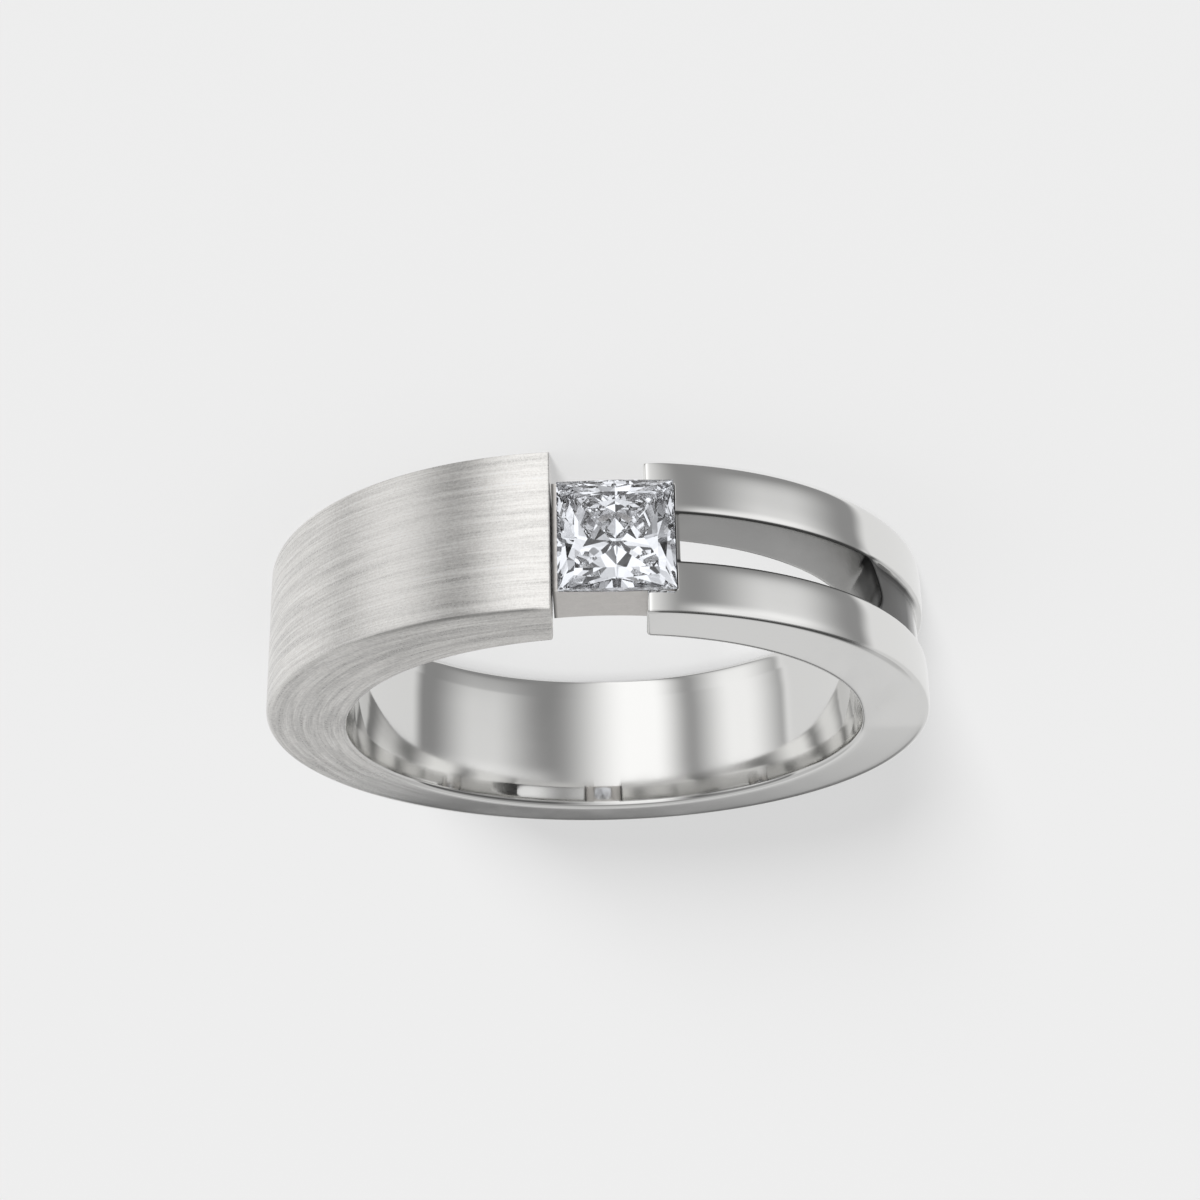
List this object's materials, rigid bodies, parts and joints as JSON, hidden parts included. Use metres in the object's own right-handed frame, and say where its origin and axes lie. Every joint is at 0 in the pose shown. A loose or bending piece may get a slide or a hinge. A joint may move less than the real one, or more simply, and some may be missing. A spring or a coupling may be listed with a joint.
{
  "type": "princess cut diamond ring",
  "caption": "Ring with a square princess cut diamond set between a wide brushed shoulder and split polished rails, lying on its side.",
  "frame": {"origin": "centre of the finger hole, at the middle of the band's width", "axes": "+Z along the finger hole, and up as the ring lies on its side; -Y towards the stone; +X towards the wide brushed shoulder"},
  "size_m": [0.0219, 0.0216, 0.005],
  "materials": {
    "ring_metal": "White gold, brushed on the wide shoulder and its side faces, mirror polished on the rails and inside the finger hole",
    "seat_metal": "White gold with an even satin finish",
    "diamond": "Colourless faceted diamond"
  },
  "bodies": {
    "root": {"ring_band": "ring_metal", "stone_setting": "seat_metal", "diamond": "diamond"}
  },
  "joints": []
}
